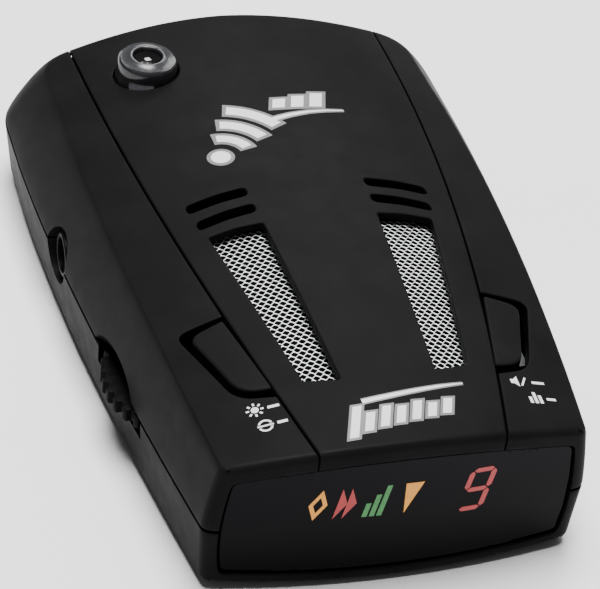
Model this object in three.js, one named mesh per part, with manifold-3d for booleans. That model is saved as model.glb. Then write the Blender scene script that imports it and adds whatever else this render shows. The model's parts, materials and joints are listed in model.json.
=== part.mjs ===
// Dashboard radar detector, in millimetres, +Z up.
// The display faces -Y, the road end is +Y, and the rubber feet stand on z = 0.
// The casing is one lofted body. Shells, panel, keys and window are all cut from it,
// so every outer face belongs to the same smooth surface.
import * as THREE from 'three';
import { mergeVertices } from 'three/addons/utils/BufferGeometryUtils.js';
import Module from 'manifold-3d';

const wasm = await Module();
wasm.setup();

// Driving dimensions
const HALF_LENGTH = 53;
const HALF_WIDTH = 36.5;
const PARTING_Z = 11;
const FRONT_HALF_WIDTH = 27.4;
const FRONT_BOW = 2.4;
const FRONT_CORNER_RADIUS = 1.2;
const WIDEST_Y = 34;
const SIDE_EXPONENT = 1.58;
const REAR_BOW = 3.6;
const REAR_BOW_EXPONENT = 1.5;
const REAR_CORNER = 5.7;

const FACE_STEPS = 4;
const SIDE_STEPS = 7;
const CORNER_STEPS = 4;
const REAR_STEPS = 4;

const CROWN_TOP_Z = 27.3;
const CROWN_TOP_Y = -6;
const CROWN_RADIUS_LONG = 586;
const CROWN_RADIUS_CROSS = 90;
const BELLY_Z = 0.8;
const BELLY_RISE = 1.4;

const FLARE_FRONT = 1.4;
const FLARE_REAR = 5.7;
const FLARE_FULL_Y = 33;
const FLARE_EXPONENT = 1.1;
const FLANK_EXPONENT = 1.33;
const SHOULDER_BACK = 0.3;
const BROW_INWARD = 0.5;
const BROW_BACK = 1.8;
const SHOULDER_START_FRONT = 0.9;
const SHOULDER_START = 0.7;
const LOWER_DRAFT = 0.55;
const LOWER_BACK = 1.25;
const LOWER_EDGE = 0.9;
const GAP = 0.3;

const UPPER_WALL = 1.8;
const LOWER_WALL = 2.9;
const ROOF_THICKNESS = 3.2;
const FLOOR_THICKNESS = 2;
const PANEL_THICKNESS = 1.2;
const GRILLE_DEPTH = 2.1;
const GRILLE_THICKNESS = 0.4;

const DISPLAY_BOARD = { halfWidth: 19.6, front: -47.6, back: -46.4, low: 4.4, high: 19.8 };
const LAMP = { halfWidth: 1.6, depth: 2, low: 11.2, high: 17.6, xs: [-12.4, -8.1, -3.9, 0.6] };
const DIGIT_MODULE = [[6.6, -50.1, 8.6], [14.6, -47.9, 19.6]];
const BOARD_TOP_Z = 7.2;
const BOARD_THICKNESS = 1.6;
const BOARD_FRONT_Y = -40.6;

const WHEEL = { x: -21.1, y: -18.1, radius: 13, low: 8.4, high: 10.7, teeth: 36, tooth: 0.7 };
const FINGER_SCOOP = { x: -34.4, z: 10.4, reach: 4.2, halfLength: 9.2, rise: 4.6 };
const JACK = { y: 10.1, z: PARTING_Z, radius: 3.45, face: -34.4, bore: 2.7, scoop: 4.2 };
const LENS = { x: -15.9, y: 37.3, rimZ: 26.9, crestZ: 27.4, rimRadius: 4.5, baseRadius: 4.85, baseZ: 22.2 };
const SPEAKER = { x: 0, y: -24, radius: 13.6, topZ: 21.9 };
const HORN = { x: 6, z: 13.4, throatY: 22, mouthY: 46.5 };
const REAR_WINDOW = { halfWidth: 11, low: 12.6, high: 19.6 };
const KEY_BOARD_Z = 16.8;
const KEY_TRAVEL = 0.6;
const KEY_STEM = { x: 20.2, y: -31.6, radius: 1.7, low: 21.3 };
const FEET = [[-21, -33.5], [21, -33.5], [-26, 28.5], [26, 28.5]];
const FOOT = { radius: 4.5, seatZ: 2.3 };
const TAPE_PAD = { z: 0.4, corners: [[-15, -8], [15, -8], [15, 24], [-15, 24]] };
const CASE_SCREWS = [[-23, -43.6], [23, -43.6], [-27.6, 39], [27.6, 39]];
const BOARD_SCREWS = [[0, -36], [-26, 24], [26, 6]];

const BLACK_PLASTIC = { color: 0x17171a, roughness: 0.55, metalness: 0 };
const KEY_PLASTIC = { color: 0x1b1b1e, roughness: 0.5, metalness: 0 };
const SMOKED = { color: 0x191622, roughness: 0.08, metalness: 0 };
const CLEAR = { color: 0xd8dcdf, roughness: 0.05, metalness: 0 };
const STEEL_MESH = { color: 0xb9bbbd, roughness: 0.35, metalness: 0.9 };
const STEEL = { color: 0x9a9ca0, roughness: 0.3, metalness: 1 };
const BOARD_GREEN = { color: 0x1d4d33, roughness: 0.5, metalness: 0 };
const RUBBER = { color: 0x101010, roughness: 0.9, metalness: 0 };
const DARK_PART = { color: 0x202022, roughness: 0.5, metalness: 0 };
const CAST_METAL = { color: 0xa8a9a6, roughness: 0.45, metalness: 0.9 };
const PAPER_CONE = { color: 0x2a2826, roughness: 0.85, metalness: 0 };

const object = new THREE.Group();

// ---------- solids ----------

function solidOf(geometry) {
  const bare = geometry.clone();
  bare.deleteAttribute('normal');
  bare.deleteAttribute('uv');
  const merged = mergeVertices(bare, 1e-4);
  return new wasm.Manifold(new wasm.Mesh({
    numProp: 3,
    vertProperties: new Float32Array(merged.attributes.position.array),
    triVerts: new Uint32Array(merged.index.array),
  }));
}

function geometryOf(solid) {
  const mesh = solid.getMesh();
  const geometry = new THREE.BufferGeometry();
  geometry.setAttribute('position', new THREE.BufferAttribute(mesh.vertProperties, mesh.numProp));
  geometry.setIndex(new THREE.BufferAttribute(mesh.triVerts, 1));
  geometry.computeVertexNormals();
  return geometry;
}

function addPart(name, shape, look) {
  const geometry = shape.isBufferGeometry ? shape : geometryOf(shape);
  const mesh = new THREE.Mesh(geometry, new THREE.MeshStandardMaterial(look));
  mesh.name = name;
  object.add(mesh);
  return mesh;
}

function boxBetween(low, high) {
  const size = high.map((value, axis) => value - low[axis]);
  const geometry = new THREE.BoxGeometry(...size);
  geometry.translate(...low.map((value, axis) => value + size[axis] / 2));
  return geometry;
}

function box(low, high) {
  return solidOf(boxBetween(low, high));
}

function slab(lowZ, highZ) {
  return box([-60, -70, lowZ], [60, 70, highZ]);
}

function upright(x, y, radius, lowZ, highZ, sides = 20) {
  const geometry = new THREE.CylinderGeometry(radius, radius, highZ - lowZ, sides);
  geometry.rotateX(Math.PI / 2);
  geometry.translate(x, y, (lowZ + highZ) / 2);
  return solidOf(geometry);
}

function alongX(lowX, highX, y, z, radius, sides = 24, outerRadius = radius) {
  const geometry = new THREE.CylinderGeometry(radius, outerRadius, highX - lowX, sides);
  geometry.rotateZ(-Math.PI / 2);
  geometry.translate((lowX + highX) / 2, y, z);
  return solidOf(geometry);
}

function prism(shape, lowZ, highZ) {
  const settings = { depth: highZ - lowZ, bevelEnabled: false, curveSegments: 5 };
  const geometry = new THREE.ExtrudeGeometry(shape, settings);
  geometry.translate(0, 0, lowZ);
  return solidOf(geometry);
}

// A turned piece standing at x, y. The profile lists [radius, z] pairs, closed on itself or on the axis.
function turned(x, y, profile, sides = 24) {
  const points = profile.map(([radius, z]) => new THREE.Vector2(radius, z));
  const geometry = new THREE.LatheGeometry(points, sides);
  geometry.rotateX(Math.PI / 2);
  geometry.translate(x, y, 0);
  return solidOf(geometry);
}

// ---------- the casing surface ----------

function halfWidthAt(y) {
  const reach = Math.max(0, (WIDEST_Y - y) / (WIDEST_Y + HALF_LENGTH - FRONT_BOW));
  return HALF_WIDTH - (HALF_WIDTH - FRONT_HALF_WIDTH) * reach ** SIDE_EXPONENT;
}

function rearAt(x) {
  return HALF_LENGTH - REAR_BOW * (Math.abs(x) / HALF_WIDTH) ** REAR_BOW_EXPONENT;
}

function crownAt(x, y) {
  const along = (y - CROWN_TOP_Y) ** 2 / (2 * CROWN_RADIUS_LONG);
  return CROWN_TOP_Z - along - x ** 2 / (2 * CROWN_RADIUS_CROSS);
}

function bellyAt(x) {
  return BELLY_Z + BELLY_RISE * (x / HALF_WIDTH) ** 2;
}

function faceAt(x) {
  return -HALF_LENGTH + FRONT_BOW * (x / FRONT_HALF_WIDTH) ** 2;
}

// How far the shoulder of the flank stands in from the parting line
function flareAt(y) {
  const along = THREE.MathUtils.clamp((y + HALF_LENGTH) / (FLARE_FULL_Y + HALF_LENGTH), 0, 1);
  return FLARE_FRONT + (FLARE_REAR - FLARE_FRONT) * along ** FLARE_EXPONENT;
}

// Share of the flank's height where its shoulder begins to round: late and crisp at the display face
function shoulderStart(y) {
  const along = THREE.MathUtils.clamp((y + HALF_LENGTH - FRONT_BOW) / 20, 0, 1);
  return THREE.MathUtils.lerp(SHOULDER_START_FRONT, SHOULDER_START, along);
}

// A point on the quadratic curve from start by way of control to end
function curvePoint(start, control, end, t) {
  return start.map((value, axis) => (
    (1 - t) ** 2 * value + 2 * t * (1 - t) * control[axis] + t ** 2 * end[axis]
  ));
}

// Half of the parting outline, from the middle of the display face round to the middle of the road end
function halfOutline() {
  const points = [];
  const faceEnd = FRONT_HALF_WIDTH - FRONT_CORNER_RADIUS;
  for (let i = 0; i <= FACE_STEPS; i++) {
    const x = faceEnd * i / FACE_STEPS;
    points.push([x, faceAt(x)]);
  }
  const cornerY = faceAt(FRONT_HALF_WIDTH) + FRONT_CORNER_RADIUS;
  const diagonal = FRONT_CORNER_RADIUS * (1 - Math.SQRT1_2);
  points.push([FRONT_HALF_WIDTH - diagonal, faceAt(FRONT_HALF_WIDTH) + diagonal]);
  const rearCorner = [HALF_WIDTH, rearAt(HALF_WIDTH)];
  const sideEnd = [HALF_WIDTH, rearCorner[1] - REAR_CORNER];
  const rearStart = [HALF_WIDTH - REAR_CORNER, rearAt(HALF_WIDTH - REAR_CORNER)];
  for (let i = 0; i < SIDE_STEPS; i++) {
    const y = THREE.MathUtils.lerp(cornerY, sideEnd[1], i / SIDE_STEPS);
    points.push([halfWidthAt(y), y]);
  }
  for (let i = 0; i < CORNER_STEPS; i++) {
    points.push(curvePoint(sideEnd, rearCorner, rearStart, i / CORNER_STEPS));
  }
  for (let i = 0; i <= REAR_STEPS; i++) {
    const x = rearStart[0] * (1 - i / REAR_STEPS);
    points.push([x, rearAt(x)]);
  }
  return points;
}

function fullOutline() {
  const half = halfOutline();
  const mirrored = half.slice(1, -1).reverse().map(([x, y]) => [-x, y]);
  return [...half, ...mirrored];
}

// The casing, or the same body shrunk: sides and rear by inset, the display face by front,
// the roof lowered by roof and the floor raised by floor.
function casing({ inset = 0, front = inset, roof = 0, floor = 0 } = {}) {
  const outline = fullOutline().map(([x, y]) => ({
    x: x * (1 - inset / Math.max(halfWidthAt(y), 25)),
    y: y * (1 - (y < 0 ? front : inset) / HALF_LENGTH),
    width: Math.max(halfWidthAt(y), FRONT_HALF_WIDTH),
    flare: flareAt(y),
    rear: Math.max(0, y) / HALF_LENGTH,
    face: y < faceAt(FRONT_HALF_WIDTH) ? 1 : 0,
    shoulder: shoulderStart(y),
  }));
  const moved = (point, inward, back, faceBack) => ({
    x: point.x * (1 - inward / point.width),
    y: point.y - back * point.rear ** 4 + faceBack * point.face,
  });
  const rings = [];
  const scaled = (list, scale, heightAt) => list.map(({ x, y }) => {
    const shrunk = { x: x * scale, y: y * scale };
    return [shrunk.x, shrunk.y, heightAt(shrunk.x, shrunk.y)];
  });

  const draftOf = (point) => LOWER_DRAFT * (1 + point.rear);
  const edge = outline.map((point) => moved(point, draftOf(point) + 0.6, LOWER_BACK + 0.7, 0.5));
  for (const scale of [0.5, 1]) {
    rings.push(scaled(edge, scale, (x) => bellyAt(x) + floor));
  }
  rings.push(outline.map((point) => {
    const { x, y } = moved(point, draftOf(point), LOWER_BACK, 0);
    return [x, y, bellyAt(x) + floor + LOWER_EDGE];
  }));
  rings.push(outline.map(({ x, y }) => [x, y, PARTING_Z]));

  const tips = outline.map((point) => {
    const { x, y } = moved(point, point.flare, SHOULDER_BACK, 0);
    return [x, y, crownAt(x, y) - roof];
  });
  const level = (point, index, climb) => {
    const lean = climb ** FLANK_EXPONENT;
    const { x, y } = moved(point, point.flare * lean, SHOULDER_BACK * lean, 0);
    return [x, y, THREE.MathUtils.lerp(PARTING_Z, tips[index][2], climb)];
  };
  for (const share of [0.5, 1]) {
    rings.push(outline.map((point, index) => level(point, index, share * point.shoulder)));
  }
  const browBack = SHOULDER_BACK + BROW_BACK;
  const brow = outline.map((point) => moved(point, point.flare + BROW_INWARD, browBack, 1));
  for (const t of [1 / 3, 2 / 3]) {
    rings.push(outline.map((point, index) => {
      const { x, y } = brow[index];
      return curvePoint(level(point, index, point.shoulder), tips[index], [x, y, crownAt(x, y) - roof], t);
    }));
  }
  for (const scale of [1, 0.7, 0.35]) {
    rings.push(scaled(brow, scale, (x, y) => crownAt(x, y) - roof));
  }
  return loft(rings, [0, 0, bellyAt(0) + floor], [0, 0, crownAt(0, 0) - roof]);
}

// Closed skin through rings of equal length, ordered from the lowest middle to the highest middle
function loft(rings, lowest, highest) {
  const count = rings[0].length;
  const positions = [lowest, ...rings.flat(), highest].flat();
  const last = rings.length * count + 1;
  const indices = [];
  for (let i = 0; i < count; i++) {
    const next = (i + 1) % count;
    indices.push(0, 1 + next, 1 + i);
    indices.push(last, last - count + i, last - count + next);
    for (let ring = 0; ring < rings.length - 1; ring++) {
      const low = 1 + ring * count;
      const high = low + count;
      indices.push(low + i, low + next, high + next);
      indices.push(low + i, high + next, high + i);
    }
  }
  const geometry = new THREE.BufferGeometry();
  geometry.setAttribute('position', new THREE.Float32BufferAttribute(positions, 3));
  geometry.setIndex(indices);
  return solidOf(geometry);
}

// ---------- outlines on the roof ----------

// Half width of the centre panel: it widens from the display towards the road end
function seamAt(y) {
  const along = (y + HALF_LENGTH) / (2 * HALF_LENGTH);
  return 13 + 24.6 * along - 12 * along ** 2;
}

function panelShape(grow) {
  const shape = new THREE.Shape();
  const steps = 10;
  shape.moveTo(-seamAt(-60) - grow, -60);
  for (let i = 0; i <= steps; i++) {
    const y = THREE.MathUtils.lerp(-HALF_LENGTH, HALF_LENGTH + 4, i / steps);
    shape.lineTo(-seamAt(y) - grow, y);
  }
  for (let i = steps; i >= 0; i--) {
    const y = THREE.MathUtils.lerp(-HALF_LENGTH, HALF_LENGTH + 4, i / steps);
    shape.lineTo(seamAt(y) + grow, y);
  }
  shape.lineTo(seamAt(-60) + grow, -60);
  return shape;
}

// A closed outline with its corners rounded by quadratic curves
function roundedOutline(corners, radius) {
  const shape = new THREE.Shape();
  corners.forEach((corner, index) => {
    const before = new THREE.Vector2(...corners.at(index - 1));
    const here = new THREE.Vector2(...corner);
    const after = new THREE.Vector2(...corners[(index + 1) % corners.length]);
    const into = here.clone().add(before.sub(here).setLength(radius[index]));
    const out = here.clone().add(after.sub(here).setLength(radius[index]));
    if (index === 0) shape.moveTo(into.x, into.y);
    else shape.lineTo(into.x, into.y);
    shape.quadraticCurveTo(here.x, here.y, out.x, out.y);
  });
  shape.closePath();
  return shape;
}

function mirrored(corners, side) {
  return side > 0 ? corners : corners.map(([x, y]) => [-x, y]).reverse();
}

function keyOutline(side, inset) {
  const rear = -23.1;
  const front = -40.6;
  const corners = [
    [seamAt(front) + GAP / 2 + (inset ? GAP / 2 : -1), front + inset * 2],
    [21.1 - inset * 0.8, -39.2 + inset * 1.1],
    [26.1 - inset * 1.8, -24.6 - inset * 1.1],
    [seamAt(rear) + GAP / 2 + (inset ? GAP / 2 : -1), rear - inset],
  ];
  return roundedOutline(mirrored(corners, side), side > 0 ? [0.6, 2.6, 1.9, 0.6] : [0.6, 1.9, 2.6, 0.6]);
}

function grilleOutline(side, grow) {
  const corners = [
    [6.8 - grow, -39.6 - grow],
    [11.8 + grow * 0.8, -38.7 - grow],
    [17 + grow, -6.7 + grow],
    [13 + grow * 0.3, -5.9 + grow],
    [8.7 - grow, -5.7 + grow],
  ];
  return roundedOutline(mirrored(corners, side), [0.5, 0.5, 0.5, 0.5, 0.5]);
}

// Two bowed slots lie behind each grille window
function slotOutline(side, row, grow) {
  const inner = row === 0 ? { x: 9.1, y: 2 } : { x: 8.9, y: -2 };
  const outer = row === 0 ? { x: 18.5, y: 0.3 } : { x: 17.9, y: -3.8 };
  const half = 1 + grow;
  const corners = [
    [inner.x - grow, inner.y - half],
    [(inner.x + outer.x) / 2, (inner.y + outer.y) / 2 + 0.25 - half],
    [outer.x + grow, outer.y - half],
    [outer.x + grow, outer.y + half],
    [(inner.x + outer.x) / 2, (inner.y + outer.y) / 2 + 0.25 + half],
    [inner.x - grow, inner.y + half],
  ];
  return roundedOutline(mirrored(corners, side), [0.9, 0.9, 0.9, 0.9, 0.9, 0.9]);
}

// Barrel-shaped window in the display face, as an outline in x and z
function windowShape(grow) {
  const shape = new THREE.Shape();
  const top = 19.3 + grow;
  const bottom = 3.2 - grow;
  const side = 24.3 + grow;
  shape.moveTo(-side + 1, bottom);
  shape.quadraticCurveTo(0, bottom - 1.2, side - 1, bottom);
  shape.quadraticCurveTo(side, bottom, side + 0.2, bottom + 1);
  shape.quadraticCurveTo(side + 1.3, 10, side - 0.1, top - 0.8);
  shape.quadraticCurveTo(side - 0.2, top, side - 1, top + 0.3);
  shape.quadraticCurveTo(0, top + 5.8, -side + 1, top + 0.3);
  shape.quadraticCurveTo(-side + 0.2, top, -side + 0.1, top - 0.8);
  shape.quadraticCurveTo(-side - 1.3, 10, -side - 0.2, bottom + 1);
  shape.quadraticCurveTo(-side, bottom, -side + 1, bottom);
  return shape;
}

function windowPrism(grow) {
  const settings = { depth: 14, bevelEnabled: false, curveSegments: 6 };
  const geometry = new THREE.ExtrudeGeometry(windowShape(grow), settings);
  geometry.rotateX(Math.PI / 2);
  geometry.translate(0, -46, 0);
  return solidOf(geometry);
}

// ---------- shared cutters ----------

const outer = casing();
const windowOpening = windowPrism(GAP);
const jackScoop = alongX(-45, JACK.face + 1.2, JACK.y, JACK.z, JACK.scoop, 28, JACK.scoop + 0.8);
const jackHole = alongX(JACK.face, -25, JACK.y, JACK.z, JACK.radius + GAP, 24);
const jackCut = jackScoop.add(jackHole);
const wheelRoom = upright(WHEEL.x, WHEEL.y, WHEEL.radius + 1, WHEEL.low - 0.6, PARTING_Z + 0.1, 40);

function fingerScoop() {
  const ball = new THREE.SphereGeometry(1, 18, 12);
  ball.scale(FINGER_SCOOP.reach, FINGER_SCOOP.halfLength, FINGER_SCOOP.rise);
  ball.translate(FINGER_SCOOP.x, WHEEL.y, FINGER_SCOOP.z);
  return solidOf(ball);
}

function rearWindowPrism(grow) {
  const side = REAR_WINDOW.halfWidth + grow;
  const bottom = REAR_WINDOW.low - grow;
  const top = REAR_WINDOW.high + grow;
  const corners = [[-side, bottom], [side, bottom], [side, top], [-side, top]];
  const settings = { depth: 14, bevelEnabled: false, curveSegments: 5 };
  const geometry = new THREE.ExtrudeGeometry(roundedOutline(corners, [2, 2, 2, 2]), settings);
  geometry.rotateX(Math.PI / 2);
  geometry.translate(0, 60, 0);
  return solidOf(geometry);
}

// ---------- casing shells ----------

function lowerCase() {
  const cavity = casing({ inset: LOWER_WALL, floor: FLOOR_THICKNESS });
  let lip = casing({ inset: UPPER_WALL + GAP }).intersect(slab(PARTING_Z - 2, PARTING_Z + 1.3))
    .subtract(box([-60, -60, 0], [60, -46.5, 40]))
    .subtract(box([-60, WHEEL.y - 11, 0], [-20, JACK.y + 6, 40]));
  for (const [x, y] of CASE_SCREWS) {
    lip = lip.subtract(upright(x, y, 3.4, PARTING_Z - GAP, 40, 16));
  }
  let shell = outer.intersect(slab(-1, PARTING_Z - GAP / 2)).add(lip).subtract(cavity);
  for (const [x, y] of CASE_SCREWS) {
    shell = shell.add(upright(x, y, 2.8, BELLY_Z + 1, PARTING_Z - GAP / 2, 16).intersect(outer));
  }
  for (const [x, y] of BOARD_SCREWS) {
    shell = shell.add(upright(x, y, 2.4, BELLY_Z + 1.5, BOARD_TOP_Z - BOARD_THICKNESS - GAP, 14));
    shell = shell.subtract(upright(x, y, 1.2, BELLY_Z + 2, 10, 12));
  }
  for (const [x, y] of CASE_SCREWS) {
    shell = shell.subtract(upright(x, y, 1.5, 0, PARTING_Z + 1, 12));
    shell = shell.subtract(upright(x, y, 2.7, 0, 4.2, 16));
  }
  shell = shell.add(prism(roundedOutline(TAPE_PAD.corners, [2, 2, 2, 2]), TAPE_PAD.z, BELLY_Z + 1));
  for (const [x, y] of FEET) {
    shell = shell.subtract(upright(x, y, FOOT.radius + GAP, 0, FOOT.seatZ, 20));
  }
  return shell.subtract(windowOpening).subtract(jackCut).subtract(wheelRoom);
}

function upperCase() {
  const cavity = casing({ inset: UPPER_WALL, roof: ROOF_THICKNESS });
  const panelSeat = prism(panelShape(GAP / 2), 0, 40)
    .subtract(casing({ inset: 0, front: 1.5, roof: PANEL_THICKNESS + GAP }));
  let shell = outer.intersect(slab(PARTING_Z + GAP / 2, 40)).subtract(cavity);
  for (const [x, y] of CASE_SCREWS) {
    const boss = upright(x, y, 2.8, PARTING_Z + GAP / 2, 22, 16);
    shell = shell.add(boss.intersect(casing({ inset: 0.5, roof: 1 })));
    shell = shell.subtract(upright(x, y, 1.3, 0, 17.5, 12));
  }
  shell = shell.subtract(panelSeat);
  for (const side of [-1, 1]) {
    shell = shell.subtract(prism(keyOutline(side, 0), 15, 40));
    const ledge = prism(grilleOutline(side, 1 + GAP), 15, 40)
      .subtract(casing({ roof: GRILLE_DEPTH + GRILLE_THICKNESS + GAP }));
    shell = shell.subtract(ledge).subtract(prism(grilleOutline(side, 0), 15, 40));
    for (const row of [0, 1]) {
      shell = shell.subtract(prism(slotOutline(side, row, 0.2), 15, 40));
    }
  }
  const lensSeat = upright(LENS.x, LENS.y, LENS.baseRadius + GAP, LENS.baseZ - GAP, 40, 24)
    .add(upright(LENS.x, LENS.y, 3.6, 15, 40, 20));
  return shell.subtract(lensSeat).subtract(windowOpening).subtract(jackCut).subtract(fingerScoop())
    .subtract(rearWindowPrism(GAP));
}

function centrePanel() {
  let plate = outer.subtract(casing({ inset: 0, front: 1.2, roof: PANEL_THICKNESS }))
    .intersect(prism(panelShape(-GAP / 2), 16, 40));
  plate = plate.subtract(windowOpening);
  for (const side of [-1, 1]) {
    plate = plate.subtract(prism(grilleOutline(side, 0), 15, 40));
    for (const row of [0, 1]) {
      plate = plate.subtract(prism(slotOutline(side, row, 0), 15, 40));
    }
  }
  plate = plate.subtract(upright(LENS.x, LENS.y, LENS.baseRadius + GAP, 15, 40, 24));
  return plate.intersect(slab(20.5, 40));
}

// ---------- keys, grilles, lens and window ----------

function key(side) {
  const plate = outer.subtract(casing({ roof: 2.2 })).intersect(prism(keyOutline(side, 0.9), 16, 40));
  const stem = upright(side * KEY_STEM.x, KEY_STEM.y, KEY_STEM.radius, KEY_STEM.low, 23.4, 14);
  return plate.add(stem);
}

function grille(side) {
  const outline = prism(grilleOutline(side, 1), 15, 40);
  const sheet = casing({ roof: GRILLE_DEPTH }).subtract(casing({ roof: GRILLE_DEPTH + GRILLE_THICKNESS }));
  return outline.intersect(sheet);
}

// Clear low dome on a tapering collar, with a dished reflector sunk in its top
function laserLens() {
  const { rimZ, crestZ, rimRadius, baseRadius, baseZ } = LENS;
  return turned(LENS.x, LENS.y, [
    [0, baseZ], [baseRadius, baseZ], [baseRadius, rimZ - 2], [rimRadius + 0.1, rimZ - 0.4],
    [rimRadius - 0.3, rimZ], [2.45, crestZ], [1.9, crestZ - 0.9], [0.8, crestZ - 1.7], [0, crestZ - 1.8],
  ], 24);
}

function displayWindow() {
  const glass = casing({ inset: 0, front: 0.4 })
    .subtract(casing({ inset: -2, front: 2, roof: -3, floor: -3 }));
  return glass.intersect(windowPrism(0));
}

function rearWindow() {
  const skin = casing({ inset: 0.5, front: 0 }).subtract(casing({ inset: 2.1, front: 0 }));
  return skin.intersect(rearWindowPrism(0)).intersect(box([-30, 40, 0], [30, 60, 40]));
}

// ---------- control pieces ----------

function volumeWheel() {
  const rim = new THREE.Shape();
  for (let tooth = 0; tooth < WHEEL.teeth; tooth++) {
    const pitch = 2 * Math.PI / WHEEL.teeth;
    const marks = [[0, WHEEL.tooth], [0.25, WHEEL.tooth], [0.42, 0], [0.83, 0]];
    for (const [share, depth] of marks) {
      const angle = pitch * (tooth + share);
      const reach = WHEEL.radius - depth;
      const point = [reach * Math.cos(angle), reach * Math.sin(angle)];
      if (tooth === 0 && share === 0) rim.moveTo(...point);
      else rim.lineTo(...point);
    }
  }
  rim.closePath();
  const settings = { depth: WHEEL.high - WHEEL.low, bevelEnabled: false };
  const geometry = new THREE.ExtrudeGeometry(rim, settings);
  geometry.translate(WHEEL.x, WHEEL.y, WHEEL.low);
  const hub = upright(WHEEL.x, WHEEL.y, 2.3, 0, 20, 16);
  return solidOf(geometry).subtract(hub);
}

function volumePot() {
  const body = upright(WHEEL.x, WHEEL.y, 4.4, BOARD_TOP_Z + GAP, WHEEL.low - GAP, 20);
  const shaft = upright(WHEEL.x, WHEEL.y, 2, BOARD_TOP_Z + GAP, WHEEL.high + 0.2, 16);
  return body.add(shaft);
}

// Inlet block with its round nose in the flank. The plug's bore is open towards -X.
function dcJack() {
  const block = box([-31, JACK.y - 4.5, BOARD_TOP_Z + GAP], [-20, JACK.y + 4.5, JACK.z + 4.3]);
  const nose = alongX(JACK.face, -30, JACK.y, JACK.z, JACK.radius, 24);
  const bore = alongX(JACK.face - 2, -22, JACK.y, JACK.z, JACK.bore, 20);
  return block.add(nose).subtract(bore);
}

function dcJackPin() {
  const stem = alongX(-33.4, -22.4, JACK.y, JACK.z, 1, 12);
  const root = alongX(-24, -22.3, JACK.y, JACK.z, JACK.bore - GAP, 16);
  return stem.add(root);
}

// ---------- electronics ----------

function mainBoard() {
  const outline = casing({ inset: LOWER_WALL + 1.2 })
    .intersect(slab(BOARD_TOP_Z - BOARD_THICKNESS, BOARD_TOP_Z));
  let board = outline.intersect(box([-60, BOARD_FRONT_Y, 0], [60, 60, 40]));
  for (const [x, y] of BOARD_SCREWS) {
    board = board.subtract(upright(x, y, 1.4, 0, 40, 12));
  }
  for (const [x, y] of CASE_SCREWS) {
    board = board.subtract(upright(x, y, 3.3, 0, 40, 16));
  }
  return board;
}

function displayBoard() {
  const { halfWidth, front, back, low, high } = DISPLAY_BOARD;
  return box([-halfWidth, front, low], [halfWidth, back, high]);
}

function bandLamp(x) {
  const front = DISPLAY_BOARD.front - GAP - LAMP.depth;
  const rear = front + LAMP.depth;
  return boxBetween([x - LAMP.halfWidth, front, LAMP.low], [x + LAMP.halfWidth, rear, LAMP.high]);
}

// Flared horn: a tapering mouth open towards the road end, on a square throat
function hornAntenna() {
  const frustum = (nearX, nearZ, farX, farZ, nearY, farY, middleZ) => {
    const geometry = new THREE.BoxGeometry(2, 2, 2);
    const corners = geometry.attributes.position;
    for (let i = 0; i < corners.count; i++) {
      const far = corners.getY(i) > 0;
      const halfX = far ? farX : nearX;
      const halfZ = far ? farZ : nearZ;
      const x = HORN.x + corners.getX(i) * halfX;
      corners.setXYZ(i, x, far ? farY : nearY, middleZ + corners.getZ(i) * halfZ);
    }
    return solidOf(geometry);
  };
  const shell = frustum(7, 4.4, 14.5, 5.6, HORN.throatY, HORN.mouthY, HORN.z);
  const inside = frustum(5, 2.6, 13.3, 4.4, HORN.throatY + 2, HORN.mouthY + 0.1, HORN.z);
  return shell.subtract(inside);
}

// Photodiode on a tall stem: its head sits in the open seat under the lens
function laserSensor() {
  const stem = upright(LENS.x, LENS.y, 1.4, BOARD_TOP_Z + GAP, 20, 12);
  return stem.add(upright(LENS.x, LENS.y, 2.5, 18.6, LENS.baseZ - GAP, 16));
}

function speakerFrame() {
  const { x, y, radius, topZ } = SPEAKER;
  return turned(x, y, [
    [radius, topZ], [radius - 1.8, topZ], [radius - 1.8, topZ - 1.2], [7.6, topZ - 5.6], [7.6, topZ - 6.6],
    [radius - 5, topZ - 6.6], [radius - 0.6, topZ - 2.2], [radius, topZ - 2.2], [radius, topZ],
  ], 24);
}

function speakerCone() {
  const { x, y, radius, topZ } = SPEAKER;
  const edge = radius - 1.8 - GAP;
  return turned(x, y, [
    [0, topZ - 5.2], [4.2, topZ - 5.2], [4.2, topZ - 4.2], [edge - 1.4, topZ - 1.1], [edge, topZ - 1],
    [edge, topZ - 0.6], [edge - 1.6, topZ - 0.6], [3.6, topZ - 3.4], [2.4, topZ - 2.1], [0, topZ - 1.6],
  ], 20);
}

function speakerMagnet() {
  const { x, y, topZ } = SPEAKER;
  return upright(x, y, 8.4, topZ - 10.2, topZ - 6.9, 24);
}

function keySwitch(side) {
  const { x, y } = KEY_STEM;
  const seat = KEY_BOARD_Z + 1.2 + GAP;
  const body = box([side * x - 3, y - 3, seat], [side * x + 3, y + 3, seat + 2]);
  return body.add(upright(side * x, y, 1.6, seat, KEY_STEM.low - KEY_TRAVEL - GAP / 2, 14));
}

function keyBoard(side) {
  const { x, y } = KEY_STEM;
  return box([side * x - 4.4, y - 5, KEY_BOARD_Z], [side * x + 4.4, y + 5, KEY_BOARD_Z + 1.2]);
}

// Cap and post of a self-tapping screw, driven upwards from headZ
function caseScrew([x, y]) {
  return turned(x, y, [[0, 2.5], [2.3, 2.5], [2.3, 3.7], [1.1, 3.9], [1.1, 16.4], [0, 17]], 14);
}

function boardScrew([x, y]) {
  const seat = BOARD_TOP_Z + GAP;
  return turned(x, y, [[0, 3.6], [0.9, 3.8], [0.9, seat], [2.2, seat], [2.2, seat + 1], [0, seat + 1.4]], 14);
}

function rubberFoot([x, y]) {
  const top = FOOT.seatZ - GAP;
  return turned(x, y, [[0, 0], [FOOT.radius - 0.5, 0], [FOOT.radius, 0.4], [FOOT.radius, top], [0, top]], 20);
}

// ---------- assembly ----------

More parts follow.
